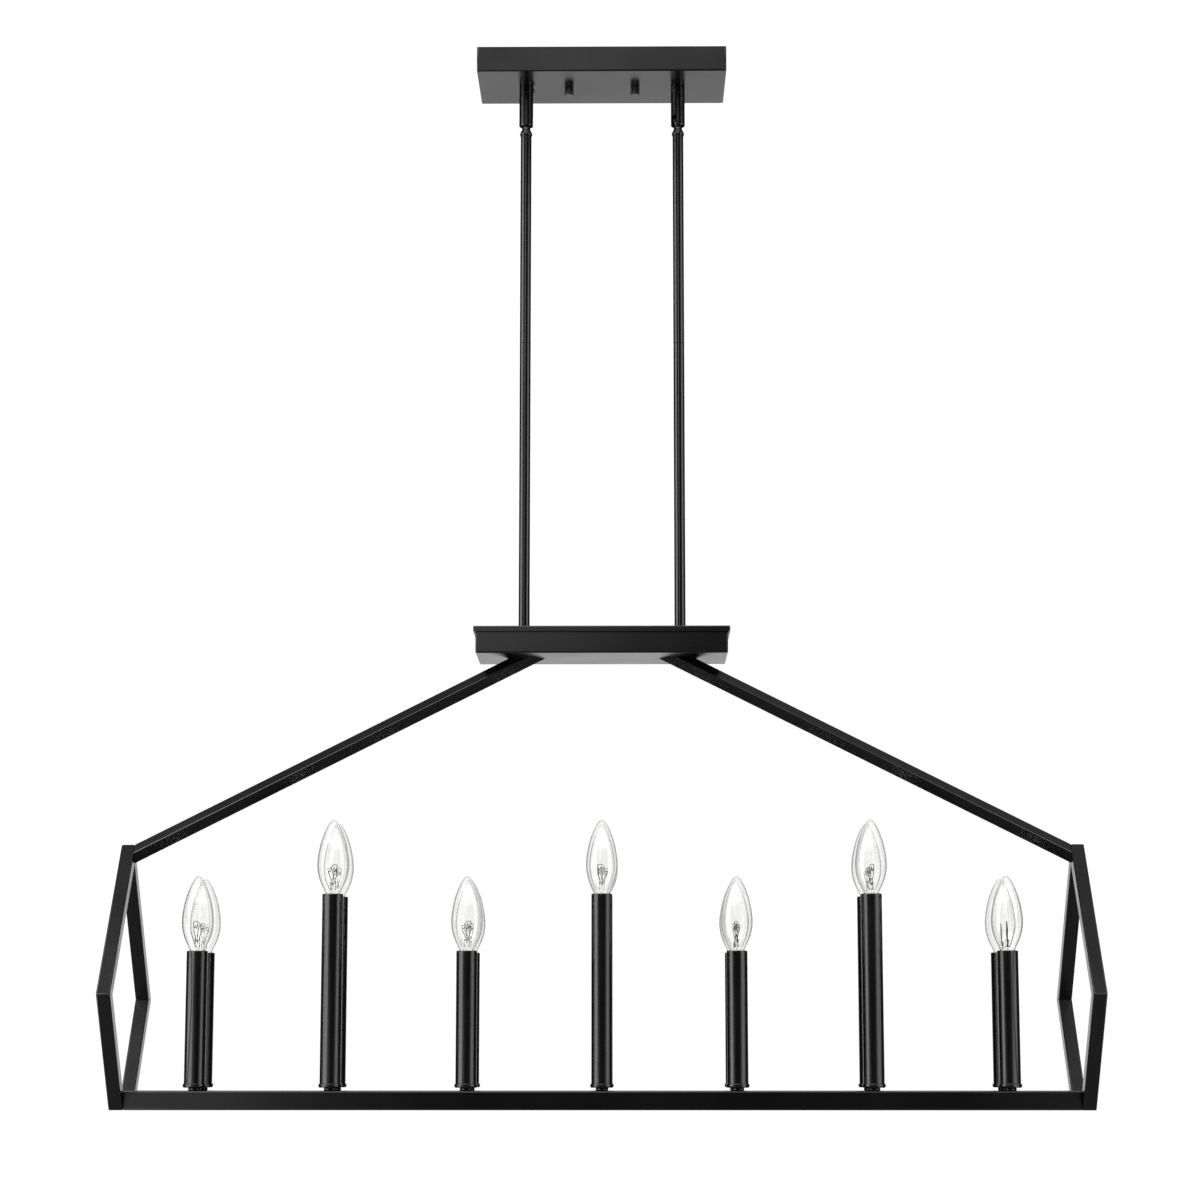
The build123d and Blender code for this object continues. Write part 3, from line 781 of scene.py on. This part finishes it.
def make_end_frames():
    """Two loops of mitred square tube, each with softened seams at its mitres."""
    tubes = ("front_upper_tube", "front_lower_tube", "foot_tube", "rear_lower_tube", "rear_upper_tube")
    outer, inner = frame_corners(), drawn_in(tube_side)
    for side, low_x in (("left", -frame_half), ("right", frame_inside)):
        for i, tube in enumerate(tubes):
            j = (i + 1) % 5
            work = bmesh.new()
            outline = (outer[i], outer[j], inner[j], inner[i])
            face = work.faces.new([work.verts.new((low_x, p.x, p.y)) for p in outline])
            made = verts_of(bmesh.ops.extrude_face_region(work, geom=[face])["geom"])
            bmesh.ops.translate(work, vec=(tube_side, 0, 0), verts=made)
            run = (outer[j] - outer[i]).normalized()
            round_edges(work, edges_along(work, Vector((0, run.x, run.y))), 1.3, 4)
            round_edges(work, end_rims(work), 0.6, 3)
            finish_piece(
                f"{side}_{tube}_welded", work, "hanging_frame", black,
                [f"{side}_{tube}"], flat_over=150,
            )


def make_rails():
    """The two square tubes between the end frames."""
    for row, y in rows_y.items():
        work = bmesh.new()
        front, back = y - rail_side / 2, y + rail_side / 2
        box(work, (-frame_inside, front, rail_bottom), (frame_inside, back, rail_top))
        round_edges(work, edges_along(work, Vector((1, 0, 0))), 1.6, 5)
        round_edges(work, end_rims(work), 0.6, 3)
        finish_piece(
            f"{row}_rail_tube", work, "hanging_frame", black, [f"{row}_rail"],
            flat_over=2000,
        )


# ---- candle lights ----

def candle_places(row, kind, z=0.0):
    """Where a rail's short or tall candle lights stand. They alternate, and a short one comes first."""
    first = 0 if kind == "short" else 1
    middle = (candles_per_rail - 1) / 2
    return [((i - middle) * candle_pitch, rows_y[row], z) for i in range(first, candles_per_rail, 2)]


def make_candle_mounts():
    """For each rail the nuts, the threaded pipes up to the lampholders, and the dished cups."""
    for row in rows_y:
        everywhere = candle_places(row, "short") + candle_places(row, "tall")
        work = bmesh.new()
        turn(work, [
            (0, rail_top + 0.01), (6.0, rail_top + 0.01), (6.5, rail_top + 0.5), (6.8, rail_top + 1.2),
            (6.8, collar_top - 1.2), (6.5, collar_top - 0.5), (6.0, collar_top - 0.01),
            (0, collar_top - 0.01),
        ], 48)
        repeat(work, everywhere)
        for kind, top in candle_tops.items():
            pipe = bmesh.new()
            end = top - socket_setback - socket_height
            thread = thread_outline(4.2, collar_top, end, *pipe_thread)
            turn(pipe, [(0, collar_top)] + thread + [(0, end)], 16)
            repeat(pipe, candle_places(row, kind))
            join(work, pipe)
        finish_piece(
            f"{row}_nuts_and_pipes", work, "hanging_frame", black,
            [f"{row}_candle_studs"],
        )
        work = bmesh.new()
        turn(work, [
            (cup_bore, collar_top + 0.02), (11.2, collar_top + 0.02), (12.0, collar_top + 0.35),
            (12.5, collar_top + 1.1), (seat_radius, collar_top + 2.0), (seat_radius, seat_top - 0.5),
            (12.5, seat_top - 0.15), (12.2, seat_top - 0.02), (cup_bore, seat_top - 0.02),
        ], 56, closed=True)
        repeat(work, everywhere)
        finish_piece(
            f"{row}_cups", work, "hanging_frame", black, [f"{row}_candle_seats"],
        )


def make_sleeves():
    """Candle sleeves: thin tubes with a softly rounded lip."""
    for row in rows_y:
        for kind, top in candle_tops.items():
            work = bmesh.new()
            turn(work, [
                (sleeve_bore, seat_top + 0.01), (11.35, seat_top + 0.01), (sleeve_radius, seat_top + 0.2),
                (sleeve_radius, seat_top + keep_straight), (sleeve_radius, top - keep_straight),
                (sleeve_radius, top - 0.45), (11.35, top - 0.13), (11.0, top), (10.65, top - 0.13),
                (sleeve_bore, top - 0.45),
            ], 64, closed=True)
            repeat(work, candle_places(row, kind))
            finish_piece(
                f"{row}_{kind}_tubes", work, "hanging_frame", sleeve_black,
                [f"{row}_{kind}_sleeves"],
            )


def make_lampholders():
    """Phenolic lampholders: a stepped barrel with a well for the bulb's cap."""
    for row in rows_y:
        joined = bmesh.new()
        for kind, top in candle_tops.items():
            work = bmesh.new()
            high = top - socket_setback
            low = high - socket_height
            turn(work, [
                (0, low + 0.02), (6.4, low + 0.02), (7.2, low + 0.8), (7.2, low + 7.0),
                (9.0, low + 9.0), (9.3, low + 9.5), (9.3, high - 1.0), (8.9, high - 0.2),
                (8.4, high), (6.9, high), (6.3, high - 0.5),
                (6.3, high - 19.5), (5.0, high - 20.4), (0, high - 20.4),
            ], 40)
            repeat(work, candle_places(row, kind))
            join(joined, work)
        finish_piece(
            f"{row}_holders", joined, "hanging_frame", phenolic, [f"{row}_lampholders"],
        )


# Radius and height of the blown glass above the sleeve's top, from its neck to its tip.
bulb_curve = [
    (6.3, -3.2), (6.9, -1.8), (8.2, 0.0), (8.9, 2.5), (10.3, 5.5), (11.9, 8.7), (13.4, 12.0),
    (14.6, 15.0), (15.6, 18.2), (16.4, 21.2), (17.0, 24.3), (17.35, 27.4), (17.55, 30.5),
    (17.6, 33.2), (17.45, 36.6), (17.1, 39.9), (16.7, 43.0), (16.2, 46.1), (15.6, 49.3),
    (15.0, 52.4), (14.25, 55.5), (13.4, 58.6), (12.35, 61.8), (11.2, 64.9), (10.0, 68.0),
    (8.7, 71.1), (7.1, 74.3), (5.4, 77.1), (4.2, 78.9), (3.1, 80.2), (2.1, 81.1), (1.1, 81.75),
    (0.0, 82.0),
]
glass_wall = 0.6


def make_bulbs():
    """Clear bulbs: blown envelope and pinched stem of glass, and the screw shell."""
    for row in rows_y:
        for kind, top in candle_tops.items():
            places = candle_places(row, kind, top)
            work = bmesh.new()
            turn(work, bulb_curve[::-1], 64)
            face_outward(work)
            bmesh.ops.solidify(work, geom=work.faces[:], thickness=glass_wall)
            press = bmesh.new()
            turn(press, [
                (0.0, -3.2), (2.2, -3.2), (2.5, 2.0), (2.9, 6.0),
                (3.0, 9.5), (2.6, 11.3), (1.5, 12.3), (0.0, 12.6),
            ], 32)
            join(work, press)
            repeat(work, places)
            finish_piece(
                f"{row}_{kind}_envelopes", work, "hanging_frame", glass,
                [f"{row}_{kind}_bulbs"], sharp=60,
            )
            work = bmesh.new()
            contact = [(0, -23.5), (2.0, -23.4), (2.6, -22.8), (3.6, -22.0), (5.25, -21.0)]
            shell = thread_outline(5.95, -20.5, -6.0, 2.5, 0.7)
            turn(work, contact + shell + [(5.6, -5.4), (5.9, -3.2), (0, -3.2)], 40)
            repeat(work, places)
            finish_piece(
                f"{row}_{kind}_screw_shells", work, "hanging_frame", nickel, sharp=60,
            )


def wire_mesh(points, radius):
    """A round wire along points, as a mesh."""
    curve = bpy.data.curves.new("wire", "CURVE")
    curve.dimensions = "3D"
    curve.bevel_depth = radius
    curve.bevel_resolution = 2
    curve.use_fill_caps = True
    curve.resolution_u = 4
    line = curve.splines.new("NURBS")
    line.points.add(len(points) - 1)
    for point, place in zip(line.points, points):
        point.co = (*place, 1)
    line.order_u = 3
    line.use_endpoint_u = True
    holder = bpy.data.objects.new("wire", curve)
    bpy.context.scene.collection.objects.link(holder)
    mesh = bpy.data.meshes.new_from_object(holder)
    bpy.data.objects.remove(holder)
    bpy.data.curves.remove(curve)
    return mesh


def bulb_wires():
    """The leads that flare from a bulb's stem, their hook and bridge, and the coiled filament."""
    wires = [
        wire_mesh(points, radius) for radius, points in (
            (0.45, [(-2.1, 0, 6.0), (-2.5, 0, 11.0), (-1.9, 0.3, 15.5), (-4.2, 0.4, 20.0),
                    (-4.7, 0, 27.0), (-4.5, 0, 32.0)]),
            (0.45, [(2.0, 0, 6.0), (2.5, 0, 11.0), (1.8, -0.3, 15.5), (4.0, -0.4, 19.5),
                    (5.6, -0.2, 23.0), (6.2, 0, 25.6)]),
            (0.4, [(0.0, 0, 9.0), (0.3, 0.4, 14.0), (-0.3, 0.3, 18.0), (0.4, 0, 22.5)]),
            (0.36, [(-4.8, 0, 31.8), (-1.8, 0.3, 32.6), (1.2, 0.3, 31.6), (3.0, 0, 28.6),
                    (5.2, 0, 27.0), (7.4, -0.2, 27.4)]),
        )
    ]
    supports = [
        (-4.8, 23.4), (-3.2, 27.6), (-1.8, 24.2), (-0.6, 30.2),
        (0.5, 22.4), (2.0, 28.8), (3.6, 24.2), (6.2, 25.4),
    ]
    coil, steps = [], 9
    for (x0, z0), (x1, z1) in zip(supports, supports[1:]):
        for i in range(steps):
            share, twist = i / steps, len(coil) * pi / 2
            x = x0 + (x1 - x0) * share + 0.25 * cos(twist)
            z = z0 + (z1 - z0) * share + 0.35 * cos(twist)
            coil.append((x, 0.5 * sin(twist), z))
    return wires + [wire_mesh(coil, 0.3)]


def make_filaments():
    """The wires inside the bulbs and the beads that hold them, each bulb turned its own way."""
    wires = bulb_wires()
    for row in rows_y:
        work = bmesh.new()
        for x, z in ((-2.1, 5.2), (2.1, 5.2), (-2.4, 11.6), (2.3, 11.6), (0.1, 16.6)):
            bead = bmesh.ops.create_icosphere(work, subdivisions=2, radius=0.95)["verts"]
            bmesh.ops.translate(work, vec=(x, 0, z), verts=bead)
        for part in wires:
            work.from_mesh(part)
        places = [p for kind, top in candle_tops.items() for p in candle_places(row, kind, top)]
        repeat(work, places, [25 + 137.5 * i for i in range(candles_per_rail)])
        finish_piece(f"{row}_filaments", work, "hanging_frame", wire, sharp=60)
    for part in wires:
        bpy.data.meshes.remove(part)


def finish_cad_nodes():
    """Paint or plate for the CAD nodes that stay."""
    for name in (
        "ceiling_strap", "canopy_strap", "stem_joiners",
        "housing_locknuts", "housing_nipples", "housing_crossbar",
    ):
        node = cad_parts[name]
        node.data.materials.clear()
        node.data.materials.append(zinc)


# ---- studio ----

def seen_or_lit(tree, seen, lit):
    """One level for rays from the eye, straight or through glass, and another for light and gloss."""
    rays = add_node(tree, "ShaderNodeLightPath", (-900, -400)).outputs
    eye = math_node(tree, "MAXIMUM", (-700, -300), rays["Is Camera Ray"], rays["Is Transmission Ray"])
    return ramp(tree, eye, 0.0, 1.0, (-500, -300), lit, seen)


def make_floor(height, radius):
    """A plain pale floor that fades into white at its rim and is unseen from below."""
    work = bmesh.new()
    bmesh.ops.create_circle(work, cap_ends=True, segments=96, radius=radius)
    bmesh.ops.translate(work, vec=(0, 0, height), verts=work.verts[:])
    bmesh.ops.recalc_face_normals(work, faces=work.faces[:])
    if next(iter(work.faces)).normal.z < 0:
        bmesh.ops.reverse_faces(work, faces=work.faces[:])
    mesh = bpy.data.meshes.new("floor")
    work.to_mesh(mesh)
    work.free()
    floor = bpy.data.objects.new("floor", mesh)
    bpy.context.scene.collection.objects.link(floor)
    material = bpy.data.materials.new("pale_floor")
    material.use_nodes = True
    tree = material.node_tree
    tree.nodes.clear()
    place = add_node(tree, "ShaderNodeTexCoord", (-1100, 100))
    flat = add_node(tree, "ShaderNodeMapping", (-900, 100))
    flat.inputs["Scale"].default_value = (1.0, 1.0, 0.0)
    tree.links.new(place.outputs["Object"], flat.inputs["Vector"])
    reach = add_node(tree, "ShaderNodeVectorMath", (-700, 100), operation="LENGTH")
    tree.links.new(flat.outputs["Vector"], reach.inputs[0])
    pale = ramp(tree, reach.outputs["Value"], 1.5, 5.6, (-500, 100), 0.9, 1.0)
    glow = add_node(tree, "ShaderNodeEmission", (0, 0))
    level = math_node(tree, "MULTIPLY", (-200, 0), pale, seen_or_lit(tree, 1.0, 0.24))
    tree.links.new(level, glow.inputs["Strength"])
    nothing = add_node(tree, "ShaderNodeBsdfTransparent", (0, -150))
    surface = add_node(tree, "ShaderNodeNewGeometry", (0, 200))
    side = add_node(tree, "ShaderNodeMixShader", (200, 0))
    tree.links.new(surface.outputs["Backfacing"], side.inputs["Fac"])
    tree.links.new(glow.outputs["Emission"], side.inputs[1])
    tree.links.new(nothing.outputs["BSDF"], side.inputs[2])
    out = add_node(tree, "ShaderNodeOutputMaterial", (400, 0))
    tree.links.new(side.outputs["Shader"], out.inputs["Surface"])
    mesh.materials.append(material)


def make_sky():
    """White to the eye and through glass. Light and gloss meet a room that depends on the direction.

    It has a pale wall behind the pendant, a dim ceiling, and a bright patch high up in front, which draws
    the fine lines along the rounded edges.
    """
    world = bpy.data.worlds.new("studio")
    bpy.context.scene.world = world
    world.use_nodes = True
    tree = world.node_tree
    tree.nodes.clear()
    place = add_node(tree, "ShaderNodeTexCoord", (-1200, 0))
    parts = add_node(tree, "ShaderNodeSeparateXYZ", (-1000, 0))
    tree.links.new(place.outputs["Generated"], parts.inputs["Vector"])
    x, y, z = parts.outputs["X"], parts.outputs["Y"], parts.outputs["Z"]
    sweep = ramp(tree, math_node(tree, "ABSOLUTE", (-850, 300), x), 0.25, 0.5, (-700, 300), 1.0, 0.0)
    behind = ramp(tree, y, 0.02, 0.2, (-700, 150))
    low = ramp(tree, z, -0.1, 0.03, (-700, 0), 0.88, 1.05)
    backdrop = math_node(tree, "MULTIPLY", (-550, 250), behind, sweep)
    wall = math_node(tree, "MULTIPLY", (-450, 150), backdrop, low)
    ceiling = ramp(tree, z, 0.5, 0.95, (-700, -150), 0.03, 0.4)
    leftward = ramp(tree, x, -0.45, 0.3, (-700, -450), 0.4, 1.0)
    above = math_node(tree, "MULTIPLY", (-450, -150), ceiling, leftward)
    before = ramp(tree, y, -0.5, -0.3, (-700, -600), 1.0, 0.0)
    high = ramp(tree, z, 0.42, 0.52, (-700, -750))
    fall = ramp(tree, x, -0.1, 0.3, (-700, -900), 4.6, 2.4)
    in_front = math_node(tree, "MULTIPLY", (-550, -700), before, high)
    patch = math_node(tree, "MULTIPLY", (-450, -600), in_front, fall)
    overhead = math_node(tree, "MAXIMUM", (-350, -300), above, patch)
    room = math_node(tree, "MAXIMUM", (-250, 100), wall, overhead)
    strength = math_node(tree, "MAXIMUM", (-100, 0), room, seen_or_lit(tree, 1.0, 0.0))
    sky = add_node(tree, "ShaderNodeBackground", (0, 0))
    sky.inputs["Color"].default_value = (1, 1, 1, 1)
    tree.links.new(strength, sky.inputs["Strength"])
    out = add_node(tree, "ShaderNodeOutputWorld", (200, 0))
    tree.links.new(sky.outputs["Background"], out.inputs["Surface"])


def soft_box(name, place, aim, width, height, radiance):
    """A soft box at a place that faces a point, of an even radiance."""
    light = bpy.data.lights.new(name, "AREA")
    light.shape = "RECTANGLE"
    light.size = width
    light.size_y = height
    light.energy = radiance * pi * width * height
    lamp = bpy.data.objects.new(name, light)
    lamp.location = place
    lamp.rotation_euler = (Vector(place) - Vector(aim)).to_track_quat("Z", "Y").to_euler()
    lamp.visible_camera = False
    lamp.visible_transmission = False
    bpy.context.scene.collection.objects.link(lamp)


def make_camera():
    """The photograph's view, from a little under the rails."""
    yaw, pitch, roll = 0.00984, 0.15768, 0.00006    # radians
    frame_px, focal_px, shift_px = 1200, 2874.41, 9.19
    ahead = Vector((-sin(yaw) * cos(pitch), cos(yaw) * cos(pitch), sin(pitch)))
    right = Vector((cos(yaw), sin(yaw), 0))
    up = right.cross(ahead)
    right, up = right * cos(roll) + up * sin(roll), up * cos(roll) - right * sin(roll)
    data = bpy.data.cameras.new("camera")
    data.sensor_width = 36.0
    data.lens = focal_px / frame_px * data.sensor_width
    data.shift_y = shift_px / frame_px
    camera = bpy.data.objects.new("camera", data)
    turned = Matrix((right, up, -ahead)).transposed().to_4x4()
    camera.matrix_world = Matrix.Translation((0.02907, -3.18859, -1.1469)) @ turned
    bpy.context.scene.collection.objects.link(camera)
    bpy.context.scene.camera = camera


make_canopy()
make_thumb_nuts()
make_threads()
make_nuts()
make_eyelet()
make_collars()
make_swivel_sleeves()
make_balls()
make_stems()
make_housing()
make_arms()
make_end_frames()
make_rails()
make_candle_mounts()
make_sleeves()
make_lampholders()
make_bulbs()
make_filaments()
finish_cad_nodes()

make_floor(height=-3.0, radius=6.0)
make_sky()
# Each box's place, the point it faces, its width and height, and its radiance. The tall boxes at the
# sides shape the round tubes, and those in front, above the eye, light the flat faces from high up.
for name, place, aim, width, height, radiance in (
    ("left_box", (-1.02, -0.42, -0.7), (0.0, 0.0, -0.7), 0.86, 1.95, 4.2),
    ("left_scrim", (-0.68, -0.92, -1.43), (0.0, 0.0, -1.43), 0.5, 0.74, 0.66),
    ("right_box", (1.1, -0.46, -0.75), (0.0, 0.0, -0.75), 0.82, 2.05, 2.6),
    ("right_scrim", (0.86, -0.92, -1.43), (0.0, 0.0, -1.43), 0.5, 0.74, 0.45),
    ("front_box", (-0.36, -2.0, 0.0), (-0.36, 0.0, 0.0), 0.64, 0.9, 1.5),
    ("key_box", (-0.17, -1.98, 0.3), (-0.17, 0.0, 0.3), 0.4, 0.45, 1.8),
    ("upper_box", (0.08, -2.0, 0.85), (0.08, 0.0, 0.85), 0.9, 0.6, 0.45),
):
    soft_box(name, place, aim, width, height, radiance)
bpy.context.scene.view_settings.view_transform = "Standard"
make_camera()
